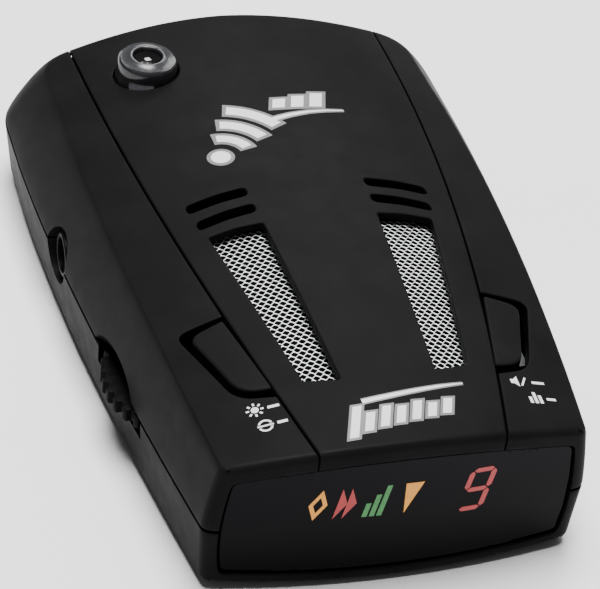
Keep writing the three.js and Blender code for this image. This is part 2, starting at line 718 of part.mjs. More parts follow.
const CAN_FRONT_Y = 1;
const CAN_TOP_Z = 16;
const MIXER_CAN = [
  [HORN.x - 7, CAN_FRONT_Y, BOARD_TOP_Z + GAP],
  [HORN.x + 7, HORN.throatY - GAP, CAN_TOP_Z],
];
const PROCESSOR_CHIP = [[8, -20, BOARD_TOP_Z + GAP], [18, -10, BOARD_TOP_Z + GAP + 1.4]];

addPart('lower_case', lowerCase(), BLACK_PLASTIC);
addPart('upper_case', upperCase(), BLACK_PLASTIC);
addPart('centre_panel', centrePanel(), BLACK_PLASTIC);
addPart('display_window', displayWindow(), SMOKED);
addPart('rear_window', rearWindow(), SMOKED);
addPart('laser_lens', laserLens(), CLEAR);
addPart('laser_sensor', laserSensor(), DARK_PART);

for (const [name, side] of [['left', -1], ['right', 1]]) {
  addPart(`button_${name}`, key(side), KEY_PLASTIC);
  addPart(`grille_${name}`, grille(side), STEEL_MESH);
  addPart(`switch_${name}`, keySwitch(side), DARK_PART);
  addPart(`key_board_${name}`, keyBoard(side), BOARD_GREEN);
}

addPart('volume_wheel', volumeWheel(), KEY_PLASTIC);
addPart('volume_pot', volumePot(), STEEL);
addPart('dc_jack', dcJack(), DARK_PART);
addPart('dc_jack_pin', dcJackPin(), STEEL);

addPart('main_board', mainBoard(), BOARD_GREEN);
addPart('display_board', displayBoard(), BOARD_GREEN);
addPart('digit_module', boxBetween(...DIGIT_MODULE), DARK_PART);
LAMP.xs.forEach((x, index) => addPart(`band_lamp_${index + 1}`, bandLamp(x), CLEAR));
addPart('horn_antenna', hornAntenna(), CAST_METAL);
addPart('mixer_can', boxBetween(...MIXER_CAN), STEEL);
addPart('processor_chip', boxBetween(...PROCESSOR_CHIP), DARK_PART);
addPart('speaker_frame', speakerFrame(), STEEL);
addPart('speaker_cone', speakerCone(), PAPER_CONE);
addPart('speaker_magnet', speakerMagnet(), STEEL);

CASE_SCREWS.forEach((place, index) => addPart(`case_screw_${index + 1}`, caseScrew(place), STEEL));
BOARD_SCREWS.forEach((place, index) => addPart(`board_screw_${index + 1}`, boardScrew(place), STEEL));
FEET.forEach((place, index) => addPart(`rubber_foot_${index + 1}`, rubberFoot(place), RUBBER));

export default object;
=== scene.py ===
"""Looks of the dashboard radar detector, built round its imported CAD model."""
import json
import math

import bpy
import numpy as np
from mathutils import Matrix


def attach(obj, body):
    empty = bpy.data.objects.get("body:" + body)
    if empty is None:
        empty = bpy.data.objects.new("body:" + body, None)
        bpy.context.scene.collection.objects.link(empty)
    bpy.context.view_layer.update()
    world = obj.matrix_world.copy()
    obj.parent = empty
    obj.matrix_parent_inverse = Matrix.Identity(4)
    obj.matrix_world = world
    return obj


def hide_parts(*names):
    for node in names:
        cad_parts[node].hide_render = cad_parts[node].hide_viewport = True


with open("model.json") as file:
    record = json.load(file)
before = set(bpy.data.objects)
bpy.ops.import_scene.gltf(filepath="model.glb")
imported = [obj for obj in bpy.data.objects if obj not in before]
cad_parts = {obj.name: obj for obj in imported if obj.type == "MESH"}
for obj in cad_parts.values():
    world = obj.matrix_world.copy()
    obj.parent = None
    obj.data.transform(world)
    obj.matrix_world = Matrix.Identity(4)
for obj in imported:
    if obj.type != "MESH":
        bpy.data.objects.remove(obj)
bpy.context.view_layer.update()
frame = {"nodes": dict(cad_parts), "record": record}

# ---------- dimensions, in millimetres, in the CAD model's frame ----------

MM = 0.001
HALF_LENGTH = 53
HALF_WIDTH = 36.5
PARTING_Z = 11
GAP = 0.3
FRONT_HALF_WIDTH = 27.4
FRONT_BOW = 2.4
WIDEST_Y = 34
SIDE_EXPONENT = 1.58
REAR_BOW = 3.6
REAR_CORNER = 5.7
BELLY_Z = 0.8
FLANK_EXPONENT = 1.33
SHOULDER_BACK = 0.3
BROW_INWARD = 0.5
BROW_BACK = 1.8
LOWER_DRAFT = 0.55
LOWER_BACK = 1.25
LOWER_EDGE = 0.9
UPPER_WALL = 1.8
LOWER_WALL = 2.9
PANEL_THICKNESS = 1.2
GRILLE_DEPTH = 2.2
WINDOW_SINK = 0.4
EDGE = 0.25

WHEEL = {"x": -21.1, "y": -18.1, "radius": 13, "low": 8.4, "high": 10.7, "hub": 2.3,
         "teeth": 36, "steps_per_tooth": 14, "tooth_depth": 0.75}
JACK = {"y": 10.1, "z": 11, "radius": 3.45, "face": -34.4, "bore": 2.7, "scoop": 4.2}
LENS = {"x": -15.9, "y": 37.3, "rim_z": 26.9, "crest_z": 27.4,
        "rim_radius": 4.5, "base_radius": 4.85, "base_z": 22.2}
FEET = [(-21, -33.5), (21, -33.5), (-26, 28.5), (26, 28.5)]
FOOT_RADIUS = 4.5
FOOT_SEAT_Z = 2.3
TAPE_PAD_Z = 0.4
TAPE_PAD = [(-15, -8), (15, -8), (15, 24), (-15, 24)]
CASE_SCREWS = [(-23, -43.6), (23, -43.6), (-27.6, 39), (27.6, 39)]
SCREW_POST_RADIUS = 2.8
SIDES = {"left": -1, "right": 1}
KEY_PEG = {"x": 20.2, "y": -31.6, "radius": 1.7}
ROOF_CUT_LOW = 15.0
FACE_CUT_LOW = 46.0

# ---------- meshes and booleans ----------


def piece_of(name, vertices, faces):
    mesh = bpy.data.meshes.new(name)
    mesh.from_pydata([tuple(v) for v in np.asarray(vertices, float)], [], faces)
    made = bpy.data.objects.new(name, mesh)
    bpy.context.scene.collection.objects.link(made)
    return made


def loft(name, rings, low=None, high=None):
    """Closed skin through rings of equal length, anticlockwise seen from the high end."""
    count = len(rings[0])
    low = np.mean(rings[0], axis=0) if low is None else low
    high = np.mean(rings[-1], axis=0) if high is None else high
    vertices = np.vstack([[low], *rings, [high]])
    last = len(vertices) - 1
    faces = []
    for i in range(count):
        after = (i + 1) % count
        faces.append((0, 1 + after, 1 + i))
        faces.append((last, last - count + i, last - count + after))
        for ring in range(len(rings) - 1):
            a = 1 + ring * count
            faces.append((a + i, a + after, a + count + after, a + count + i))
    return piece_of(name, vertices, faces)


def combine(base, tool, operation, keep_tool=False):
    change = base.modifiers.new("combine", "BOOLEAN")
    change.operation = operation
    change.solver = "MANIFOLD"
    change.object = tool
    graph = bpy.context.evaluated_depsgraph_get()
    mesh = bpy.data.meshes.new_from_object(base.evaluated_get(graph))
    base.modifiers.clear()
    base.data = mesh
    if not keep_tool:
        bpy.data.objects.remove(tool)
    return base


def cut(base, *tools):
    for tool in tools:
        combine(base, tool, "DIFFERENCE")
    return base


def common(base, tool, keep_tool=False):
    return combine(base, tool, "INTERSECT", keep_tool)


def box(low, high):
    (x0, y0, z0), (x1, y1, z1) = low, high
    bottom = np.array([(x0, y0), (x1, y0), (x1, y1), (x0, y1)], float)
    return loft("box", [upward(bottom, z0), upward(bottom, z1)])


def slab(low_z, high_z):
    return box((-60, -70, low_z), (60, 70, high_z))


# ---------- outlines and cutters ----------


def upward(loop, height):
    return np.column_stack([loop[:, 0], loop[:, 1], np.broadcast_to(height, len(loop))])


def forward(loop, height):
    """Plane x, z looking along +Y: height grows towards -Y."""
    return np.column_stack([loop[:, 0], -np.broadcast_to(height, len(loop)), loop[:, 1]])


def rearward(loop, height):
    return np.column_stack([-loop[:, 0], np.broadcast_to(height, len(loop)), loop[:, 1]])


def leftward(loop, height):
    """Plane y, z seen from -X: the first axis is +Z, the second +Y, and height grows towards -X."""
    return np.column_stack([-np.broadcast_to(height, len(loop)), loop[:, 1], loop[:, 0]])


def anticlockwise(loop):
    x, y = loop[:, 0], loop[:, 1]
    area = np.sum(x * np.roll(y, -1) - np.roll(x, -1) * y)
    return loop if area > 0 else loop[::-1]


def curve(start, control, end, t):
    """Point at t on the quadratic curve from start by way of control to end."""
    return (1 - t) ** 2 * start + 2 * t * (1 - t) * control + t * t * end


def rounded(corners, radii):
    """Corners rounded by quadratic curves, then long edges divided."""
    corners = np.array(corners, float)
    points = []
    for i, here in enumerate(corners):
        before, after = corners[i - 1] - here, corners[(i + 1) % len(corners)] - here
        start = here + before / np.linalg.norm(before) * radii[i]
        end = here + after / np.linalg.norm(after) * radii[i]
        points += [curve(start, here, end, t) for t in np.linspace(0, 1, 8)]
    return divided(anticlockwise(np.array(points)), 1.0)


def divided(loop, spacing):
    points = []
    for here, after in zip(loop, np.roll(loop, -1, axis=0)):
        parts = max(1, math.ceil(np.linalg.norm(after - here) / spacing))
        for k in range(parts):
            points.append(here + (after - here) * k / parts)
    return np.array(points)


def grown(loop, distance):
    ahead = np.roll(loop, -1, axis=0) - loop
    ahead = ahead / np.maximum(np.linalg.norm(ahead, axis=1, keepdims=True), 1e-9)
    normal = np.column_stack([ahead[:, 1], -ahead[:, 0]])
    normal = normal + np.roll(normal, 1, axis=0)
    normal = normal / np.maximum(np.linalg.norm(normal, axis=1, keepdims=True), 1e-9)
    return loop + normal * distance


def mirrored(loop, side):
    return loop if side > 0 else anticlockwise(loop * [-1, 1])


def rimmed(loop, surface, low, place=upward, edge=EDGE, opens=True):
    """Prism from low up through a surface, whose rim opens or closes in a quarter round there."""
    sign = 1 if opens else -1
    rings = [place(loop, low), place(loop, surface(loop) - edge)]
    for turn in np.linspace(0, math.pi / 2, 5)[1:]:
        moved = grown(loop, sign * edge * (1 - math.cos(turn)))
        rings.append(place(moved, surface(moved) - edge * (1 - math.sin(turn))))
    rim = grown(loop, sign * edge)
    rings.append(place(rim, surface(rim) + 0.02))
    rings.append(place(rim, np.max(surface(rim)) + 8.0))
    return loft("cutter", rings)


def turned(profile, centre=(0, 0), place=upward, sides=72):
    """Turned solid: (radius, height) pairs from the axis at the low end out and back to the axis."""
    turn = np.linspace(0, 2 * math.pi, sides, endpoint=False)
    circle = np.column_stack([np.cos(turn), np.sin(turn)])
    rings = [place(circle * radius + centre, height) for radius, height in profile if radius > 0]
    middle = np.array([centre], float)
    low = place(middle, profile[0][1])[0]
    high = place(middle, profile[-1][1])[0]
    return loft("turned", rings, low, high)


def upright(x, y, radius, low, high, sides=48):
    return turned([(radius, low), (radius, high)], (x, y), sides=sides)


# ---------- the casing surface ----------


def half_width(y):
    reach = np.clip((WIDEST_Y - y) / (WIDEST_Y + HALF_LENGTH - FRONT_BOW), 0, None)
    return HALF_WIDTH - (HALF_WIDTH - FRONT_HALF_WIDTH) * reach ** SIDE_EXPONENT


def rear_y(x):
    return HALF_LENGTH - REAR_BOW * (np.abs(x) / HALF_WIDTH) ** 1.5


def crown(loop):
    return 27.3 - (loop[:, 1] + 6) ** 2 / 1172 - loop[:, 0] ** 2 / 180


def belly(x):
    return BELLY_Z + 1.4 * (x / HALF_WIDTH) ** 2


def face_y(x):
    return -HALF_LENGTH + FRONT_BOW * (x / FRONT_HALF_WIDTH) ** 2


def face_height(loop):
    return -face_y(loop[:, 0])


def window_height(loop):
    return face_height(loop) - WINDOW_SINK


def rear_height(loop):
    climb = np.clip((loop[:, 1] - PARTING_Z) / 13, 0, 1)
    return rear_y(loop[:, 0]) - SHOULDER_BACK * climb ** FLANK_EXPONENT


def half_outline():
    """From the middle of the display face round to the middle of the road end."""
    face_x = np.linspace(0, 25.8, 25)
    points = [np.column_stack([face_x, face_y(face_x)])]
    t = np.linspace(0, 1, 10)[1:-1, None]
    start = np.array([25.8, face_y(25.8)])
    corner = np.array([27.48, -50.55])
    end = np.array([half_width(-49.2), -49.2])
    points.append(curve(start, corner, end, t))
    rear_corner = np.array([HALF_WIDTH, rear_y(HALF_WIDTH)])
    side_end = np.array([HALF_WIDTH, rear_corner[1] - REAR_CORNER])
    rear_x = HALF_WIDTH - REAR_CORNER
    rear_start = np.array([rear_x, rear_y(rear_x)])
    side_y = np.linspace(-49.2, side_end[1], 60, endpoint=False)
    points.append(np.column_stack([half_width(side_y), side_y]))
    t = np.linspace(0, 1, 20, endpoint=False)[:, None]
    points.append(curve(side_end, rear_corner, rear_start, t))
    x = np.linspace(rear_x, 0, 28)
    points.append(np.column_stack([x, rear_y(x)]))
    return np.vstack(points)


def full_outline():
    half = half_outline()
    return np.vstack([half, (half[1:-1] * [-1, 1])[::-1]])


OUTLINE = full_outline()
WIDTH = np.maximum(half_width(OUTLINE[:, 1]), FRONT_HALF_WIDTH)
REAR = np.clip(OUTLINE[:, 1], 0, None) / HALF_LENGTH
FACE = (OUTLINE[:, 1] < face_y(FRONT_HALF_WIDTH)).astype(float)
FLARE = 1.4 + 4.3 * np.clip((OUTLINE[:, 1] + HALF_LENGTH) / 86, 0, 1) ** 1.1
SHOULDER = 0.9 - 0.2 * np.clip((OUTLINE[:, 1] + HALF_LENGTH - FRONT_BOW) / 20, 0, 1)
DRAFT = LOWER_DRAFT * (1 + REAR)


def casing(inset=0.0, front=None, roof=0.0, floor=0.0, part="whole"):
    """The casing's body, or the same shrunk. Part lower or upper stops at the parting seam."""
    front = inset if front is None else front
    base_x = OUTLINE[:, 0] * (1 - inset / np.maximum(half_width(OUTLINE[:, 1]), 25))
    base_y = OUTLINE[:, 1] * (1 - np.where(OUTLINE[:, 1] < 0, front, inset) / HALF_LENGTH)

    def moved(inward, back, face_back=0.0):
        x = base_x * (1 - inward / WIDTH)
        return np.column_stack([x, base_y - back * REAR ** 4 + face_back * FACE])

    def shrunk(loop, distance):
        along = np.full(len(loop), 1 - distance / HALF_LENGTH)
        return loop * np.column_stack([1 - distance / WIDTH, along])

    corner = moved(FLARE, SHOULDER_BACK)
    tip = upward(corner, crown(corner) - roof)

    def level(climb):
        lean = climb ** FLANK_EXPONENT
        loop = moved(FLARE * lean, SHOULDER_BACK * lean)
        return upward(loop, PARTING_Z + (tip[:, 2] - PARTING_Z) * climb)

    def belly_ring(loop):
        return upward(loop, belly(loop[:, 0]) + floor)

    rings = []
    if part != "upper":
        edge_loop = moved(DRAFT + 0.6, LOWER_BACK + 0.7, 0.5)
        for scale in (0.15, 0.3, 0.5, 0.7, 0.85, 0.94):
            rings.append(belly_ring(edge_loop * scale))
        start = belly_ring(edge_loop)
        draft = moved(DRAFT, LOWER_BACK)
        end = upward(draft, belly(draft[:, 0]) + floor + LOWER_EDGE)
        middle = upward(draft, belly(draft[:, 0]) + floor)
        for t in np.linspace(0, 1, 7):
            rings.append(curve(start, middle, end, t))
        seam = upward(moved(0, 0), PARTING_Z)
        top_share = 1.0 if part == "whole" else 1 - (GAP / 2 + EDGE) / (PARTING_Z - 3)
        for t in np.linspace(0, top_share, 7)[1:]:
            rings.append(end + (seam - end) * t)
    if part == "lower":
        below = moved(0, 0)
        for turn in np.linspace(0, math.pi / 2, 5)[1:]:
            loop = shrunk(below, EDGE * (1 - math.cos(turn)))
            rings.append(upward(loop, PARTING_Z - GAP / 2 - EDGE * (1 - math.sin(turn))))
        for scale in (0.95, 0.5):
            rings.append(upward(shrunk(below, EDGE) * scale, PARTING_Z - GAP / 2))
        return loft("casing", rings)
    if part == "upper":
        above = moved(0, 0)
        for scale in (0.5, 0.95):
            rings.append(upward(shrunk(above, EDGE) * scale, PARTING_Z + GAP / 2))
        for turn in np.linspace(0, math.pi / 2, 5):
            rise = GAP / 2 + EDGE * (1 - math.cos(turn))
            climb = rise / (tip[:, 2] - PARTING_Z)
            ring = level(climb)
            loop = shrunk(ring[:, :2], EDGE * (1 - math.sin(turn)))
            rings.append(upward(loop, ring[:, 2]))
    for share in np.linspace(0.1, 1, 13):
        rings.append(level(share * SHOULDER))
    start = level(SHOULDER)
    brow = moved(FLARE + BROW_INWARD, SHOULDER_BACK + BROW_BACK, 1.0)
    end = upward(brow, crown(brow) - roof)
    for t in np.linspace(0, 1, 13)[1:]:
        rings.append(curve(start, tip, end, t))
    for scale in (0.985, 0.96, 0.93, 0.88, 0.82, 0.75, 0.67, 0.58, 0.49, 0.4, 0.31, 0.22, 0.13, 0.05):
        loop = brow * scale
        rings.append(upward(loop, crown(loop) - roof))
    return loft("casing", rings)


# ---------- outlines on the roof and the faces ----------


def seam_x(y):
    along = (y + HALF_LENGTH) / (2 * HALF_LENGTH)
    return 13 + 24.6 * along - 12 * along ** 2


def panel_loop(grow):
    y = np.linspace(-HALF_LENGTH - 3, HALF_LENGTH + 4, 90)
    x = seam_x(y) + grow
    return anticlockwise(np.vstack([np.column_stack([x, y]), np.column_stack([-x, y])[::-1]]))


def panel_tool(grow, opens, low=0.0):
    loop = divided(panel_loop(grow), 1.5)
    return rimmed(loop, crown, low, opens=opens)


def key_loop(side, inset):
    half = GAP / 2
    reach = half if inset else -1
    corners = [
        (seam_x(-40.6) + half + reach, -40.6 + inset * 2),
        (21.1 - inset * 0.8, -39.2 + inset * 1.1),
        (26.1 - inset * 1.8, -24.6 - inset * 1.1),
        (seam_x(-23.1) + half + reach, -23.1 - inset),
    ]
    return mirrored(rounded(corners, (0.6, 2.6, 1.9, 0.6)), side)


def grille_loop(side, grow):
    corners = [
        (6.8 - grow, -39.6 - grow), (11.8 + grow * 0.8, -38.7 - grow), (17 + grow, -6.7 + grow),
        (13 + grow * 0.3, -5.9 + grow), (8.7 - grow, -5.7 + grow),
    ]
    return mirrored(rounded(corners, (0.5,) * 5), side)


def slot_loop(side, row, grow):
    inner, outer = ((9.1, 2), (18.5, 0.3)) if row == 0 else ((8.9, -2), (17.9, -3.8))
    half = 1 + grow
    middle = ((inner[0] + outer[0]) / 2, (inner[1] + outer[1]) / 2 + 0.25)
    corners = [
        (inner[0] - grow, inner[1] - half), (middle[0], middle[1] - half),
        (outer[0] + grow, outer[1] - half), (outer[0] + grow, outer[1] + half),
        (middle[0], middle[1] + half), (inner[0] - grow, inner[1] + half),
    ]
    return mirrored(rounded(corners, (0.9,) * 6), side)


def window_loop(grow):
    """Barrel-shaped outline in x and z."""
    top, bottom, side = 19.3 + grow, 3.2 - grow, 24.3 + grow
    curves = [
        ((-side + 1, bottom), (0, bottom - 1.2), (side - 1, bottom)),
        ((side - 1, bottom), (side, bottom), (side + 0.2, bottom + 1)),
        ((side + 0.2, bottom + 1), (side + 1.3, 10), (side - 0.1, top - 0.8)),
        ((side - 0.1, top - 0.8), (side - 0.2, top), (side - 1, top + 0.3)),
        ((side - 1, top + 0.3), (0, top + 5.8), (-side + 1, top + 0.3)),
        ((-side + 1, top + 0.3), (-side + 0.2, top), (-side + 0.1, top - 0.8)),
        ((-side + 0.1, top - 0.8), (-side - 1.3, 10), (-side - 0.2, bottom + 1)),
        ((-side - 0.2, bottom + 1), (-side, bottom), (-side + 1, bottom)),
    ]
    points = []
    for start, middle, end in curves:
        reach = math.dist(start, end)
        for t in np.linspace(0, 1, max(5, int(reach)), endpoint=False):
            points.append(curve(np.array(start), np.array(middle), np.array(end), t))
    return anticlockwise(np.array(points))


def window_tool(grow, opens, surface=face_height):
    return rimmed(window_loop(grow), surface, FACE_CUT_LOW, place=forward, opens=opens)


def rear_window_loop(grow):
    half, low, high = 11 + grow, 12.6 - grow, 19.6 + grow
    return rounded([(-half, low), (half, low), (half, high), (-half, high)], (2,) * 4)


def rear_window_tool(grow, opens):
    return rimmed(rear_window_loop(grow), rear_height, FACE_CUT_LOW, place=rearward, opens=opens)


def jack_tools():
    centre = (JACK["z"], JACK["y"])
    inner, scoop = -JACK["face"] - 1.2, JACK["scoop"]
    hole = turned([(JACK["radius"] + GAP, 25), (JACK["radius"] + GAP, 40)], centre, leftward)
    cone = turned([(scoop - 0.6, inner), (scoop - 0.12, inner + 0.15), (scoop + 0.1, inner + 0.5),
                   (scoop + 0.8, 45)], centre, leftward)
    return [hole, cone]


def lens_seat(low):
    return rimmed(circle_loop(LENS["x"], LENS["y"], LENS["base_radius"] + GAP), crown, low)


def lens_tools():
    return [lens_seat(LENS["base_z"] - GAP), upright(LENS["x"], LENS["y"], 3.6, 15, 40)]


def circle_loop(x, y, radius, sides=72):
    turn = np.linspace(0, 2 * math.pi, sides, endpoint=False)
    return np.column_stack([x + radius * np.cos(turn), y + radius * np.sin(turn)])


def ellipsoid(centre, radii):
    rings = []
    for turn in np.linspace(-math.pi / 2, math.pi / 2, 37)[1:-1]:
        ring = circle_loop(0, 0, math.cos(turn)) * radii[:2] + centre[:2]
        rings.append(upward(ring, centre[2] + radii[2] * math.sin(turn)))
    tips = [np.array(centre) + [0, 0, sign * radii[2]] for sign in (-1, 1)]
    return loft("ellipsoid", rings, *tips)


# ---------- more solid makers ----------


def flat_prism(loop, low, high, place=upward):
    """Prism of a flat outline of any shape, between two heights."""
    loop = anticlockwise(np.array(loop, float))
    count = len(loop)
    vertices = np.vstack([place(loop, low), place(loop, high)])
    walls = [(i, (i + 1) % count, count + (i + 1) % count, count + i) for i in range(count)]
    ends = [tuple(range(count))[::-1], tuple(range(count, 2 * count))]
    return piece_of("prism", vertices, ends + walls)


def hoop(name, rings):
    """Closed skin through rings whose last one meets the first, such as a body with a bore."""
    count, total = len(rings[0]), len(rings)
    faces = []
    for ring in range(total):
        a, b = ring * count, (ring + 1) % total * count
        faces += [(a + i, a + (i + 1) % count, b + (i + 1) % count, b + i) for i in range(count)]
    return piece_of(name, np.vstack(rings), faces)


# ---------- speaker grilles ----------

MESH = {"pitch_x": 1.15, "row_y": 0.74, "open_share": 0.82, "thick": 0.2}


def inside_outline(loop, points):
    """True for each point inside a convex anticlockwise outline."""
    result = np.ones(len(points), bool)
    for here, after in zip(loop, np.roll(loop, -1, axis=0)):
        edge = after - here
        result &= edge[0] * (points[:, 1] - here[1]) - edge[1] * (points[:, 0] - here[0]) >= 0
    return result


def grille_mesh(side):
    """Expanded metal: staggered six-sided holes, each strand rounded towards its hole."""
    pitch, row_y = MESH["pitch_x"], MESH["row_y"]
    boundary = grille_loop(side, 0.75)
    low, high = boundary.min(0), boundary.max(0)
    centres = []
    for row in range(int((high[1] - low[1]) / row_y) + 1):
        shift = pitch / 2 * (row % 2)
        xs = np.arange(low[0] + shift, high[0], pitch)
        centres += [(x, low[1] + row * row_y) for x in xs]
    centres = np.array(centres)
    centres = centres[inside_outline(boundary, centres)]
    top_y = (pitch ** 2 / 8 + row_y ** 2 / 2) / row_y
    side_y = ((pitch / 2) ** 2 + row_y ** 2 - pitch ** 2 / 2) / 2 / row_y
    corners = [(0, -top_y), (pitch / 2, -side_y), (pitch / 2, side_y),
               (0, top_y), (-pitch / 2, side_y), (-pitch / 2, -side_y)]
    cell = divided(np.array(corners), 0.32)
    hole = cell * MESH["open_share"]
    count = len(cell)
    thick = MESH["thick"]
    shared, vertices, faces, walls = {}, [], [], {}

    def vertex(x, y, drop):
        vertices.append((x, y, float(crown(np.array([[x, y]]))[0]) - GRILLE_DEPTH - drop))
        return len(vertices) - 1

    def border(x, y, drop):
        key_xy = (round(x, 3), round(y, 3), drop)
        if key_xy not in shared:
            shared[key_xy] = vertex(x, y, drop)
        return shared[key_xy]

    for cx, cy in centres:
        outer_top = [border(cx + x, cy + y, 0.0) for x, y in cell]
        outer_low = [border(cx + x, cy + y, thick) for x, y in cell]
        levels = [outer_top]
        for share, drop in ((0.55, 0.015), (0.2, 0.05), (0.0, thick * 0.5), (0.2, thick - 0.04)):
            loop = hole + (cell - hole) * share
            levels.append([vertex(cx + x, cy + y, drop) for x, y in loop])
        levels.append(outer_low)
        for upper, lower in zip(levels, levels[1:]):
            for i in range(count):
                j = (i + 1) % count
                faces.append((upper[i], upper[j], lower[j], lower[i]))
        for i in range(count):
            j = (i + 1) % count
            pair = (outer_top[i], outer_top[j])
            if pair[::-1] in walls:
                del walls[pair[::-1]]
            else:
                walls[pair] = (outer_low[i], outer_low[j])
    for (top_a, top_b), (low_a, low_b) in walls.items():
        faces.append((low_a, low_b, top_b, top_a))
    return piece_of("grille", vertices, faces)


# ---------- lens, wheel, inlet, screws and feet ----------


def lens_body():
    rim_z, rim, base = LENS["rim_z"], LENS["rim_radius"], LENS["base_radius"]
    profile = [
        (0, LENS["base_z"]), (base - 0.15, LENS["base_z"]), (base, LENS["base_z"] + 0.15),
        (base, rim_z - 2.6), (base - 0.03, rim_z - 1.5), (rim + 0.12, rim_z - 0.5),
        (rim, rim_z - 0.22), (rim - 0.14, rim_z - 0.08), (rim - 0.34, rim_z - 0.03),
        (2.7, rim_z - 0.03), (2.4, rim_z - 0.5), (1.9, rim_z - 1.3), (1.2, rim_z - 1.8),
        (0.5, rim_z - 2.0), (0, rim_z - 2.04),
    ]
    return turned(profile, (LENS["x"], LENS["y"]), sides=96)


def lens_collar():
    """Frosted crown round the mouth of the lens, highest at its inner lip."""
    rim_z, crest_z, rim = LENS["rim_z"], LENS["crest_z"], LENS["rim_radius"] - 0.35
    profile = [
        (2.55, rim_z - 0.25), (2.72, rim_z - 0.01), (rim, rim_z - 0.01), (rim, rim_z + 0.04),
        (3.6, rim_z + 0.14), (3.1, rim_z + 0.3), (2.75, crest_z - 0.05), (2.55, crest_z),
        (2.38, crest_z - 0.08), (2.28, crest_z - 0.3), (2.3, rim_z - 0.2),
    ]
    rings = [upward(circle_loop(LENS["x"], LENS["y"], radius, 96), height)
             for radius, height in profile]
    return hoop("collar", rings)


def lens_eye():
    """Dark glossy bowl sunk in the middle of the lens."""
    rim_z = LENS["rim_z"]
    profile = [
        (0, rim_z - 2.0), (0.55, rim_z - 1.96), (1.25, rim_z - 1.75), (1.95, rim_z - 1.25),
        (2.36, rim_z - 0.5), (2.25, rim_z - 0.28), (2.1, rim_z - 0.42), (1.7, rim_z - 0.9),
        (1.1, rim_z - 1.25), (0.75, rim_z - 1.3), (0.45, rim_z - 1.1), (0, rim_z - 1.0),
    ]
    return turned(profile, (LENS["x"], LENS["y"]))


def wheel_ring(reach, height, tooth_depth):
    """One ring round the wheel, notched between its teeth when a tooth depth is given."""
    per_tooth = WHEEL["steps_per_tooth"]
    step = np.arange(WHEEL["teeth"] * per_tooth)
    turn = step * 2 * math.pi / len(step)
    share = (step % per_tooth) / per_tooth
    notch = 0.5 - 0.5 * np.tanh((np.abs(share - 0.5) - 0.24) * 16)
    radius = reach - tooth_depth * notch
    loop = np.column_stack([radius * np.cos(turn), radius * np.sin(turn)])
    return upward(loop + [WHEEL["x"], WHEEL["y"]], height)


def thumb_wheel():
    low, high, radius, hub = WHEEL["low"], WHEEL["high"], WHEEL["radius"], WHEEL["hub"]
    web = [(hub, low), (9.5, low), (11.4, low + 0.25)]
    rim = [(radius - 0.3, low + 0.02), (radius - 0.08, low + 0.1), (radius, low + 0.32),
           (radius, high - 0.32), (radius - 0.08, high - 0.1), (radius - 0.3, high - 0.02)]
    top_web = [(11.4, high - 0.25), (9.5, high), (hub, high)]
    rings = [wheel_ring(*point, 0.0) for point in web]
    rings += [wheel_ring(*point, WHEEL["tooth_depth"]) for point in rim]
    rings += [wheel_ring(*point, 0.0) for point in top_web]
    return hoop("wheel", rings)


def inlet():
    y, z, face = JACK["y"], JACK["z"], -JACK["face"]
    radius, bore_radius = JACK["radius"], JACK["bore"]
    block = box((-31, y - 4.5, 7.5), (-20, y + 4.5, z + 4.3))
    nose = turned([(0, 29), (radius, 29), (radius, face - 0.3), (radius - 0.08, face - 0.1),
                   (radius - 0.25, face), (0, face)], (z, y), leftward)
    bore = turned([(bore_radius, 22), (bore_radius, face - 0.25), (bore_radius + 0.08, face - 0.08),
                   (bore_radius + 0.25, face), (bore_radius + 0.3, face + 2)], (z, y), leftward)
    return cut(combine(block, nose, "UNION"), bore)


def inlet_pin():
    flange = JACK["bore"] - GAP
    profile = [(0, 22.3), (flange, 22.3), (flange, 24), (1, 24), (1, 32.7), (0.93, 33.0),
               (0.7, 33.28), (0.35, 33.4), (0, 33.42)]
    return turned(profile, (JACK["z"], JACK["y"]), leftward, sides=48)


def case_screw(x, y):
    profile = [(0, 2.35), (1.1, 2.4), (1.8, 2.55), (2.2, 2.85), (2.3, 3.2), (2.3, 3.7), (1.1, 3.9),
               (1.1, 16.4), (0, 17)]
    head = turned(profile, (x, y), sides=48)
    for across, along in ((1.35, 0.28), (0.28, 1.35)):
        cut(head, box((x - across, y - along, 1), (x + across, y + along, 3.1)))
    return head


def rubber_foot(x, y):
    profile = [(0, 0.12), (1.6, 0.1), (2.6, 0.02), (3.4, 0), (4.0, 0.06), (4.35, 0.25),
               (FOOT_RADIUS, 0.6), (FOOT_RADIUS, FOOT_SEAT_Z - GAP), (0, FOOT_SEAT_Z - GAP)]
    return turned(profile, (x, y))


# ---------- printed marks and lit symbols ----------


def slanted(loop, slant, foot):
    loop = np.array(loop, float)
    return loop + np.column_stack([(loop[:, 1] - foot) * slant, np.zeros(len(loop))])


def bar(x, y, width, height):
    return np.array([(x, y), (x + width, y), (x + width, y + height), (x, y + height)], float)


def arc_band(x, y, inner, outer, start, end):
    """Band round a centre, from one angle to another."""
    turn = np.radians(np.linspace(start, end, 28))
    arc = np.column_stack([np.cos(turn), np.sin(turn)])
    return np.vstack([arc * outer, (arc * inner)[::-1]]) + [x, y]


def disc(x, y, radius):
    return circle_loop(x, y, radius, 28)


def film(loops, skin, low, high, place):
    """The skin where it lies inside any of the outlines."""
    marks = None
    for loop in loops:
        prism = flat_prism(loop, low, high, place)
        marks = prism if marks is None else combine(marks, prism, "UNION")
    return common(marks, skin, keep_tool=True)


def printed(name, loops, rise, slot, sink=0.06):
    """A mark printed on the roof, standing a little proud of it."""
    skin = cut(casing(roof=-rise), casing(roof=sink))
    mark = film(loops, skin, ROOF_CUT_LOW, 40, upward)
    bpy.data.objects.remove(skin)
    finish_piece(mark, name, slot)


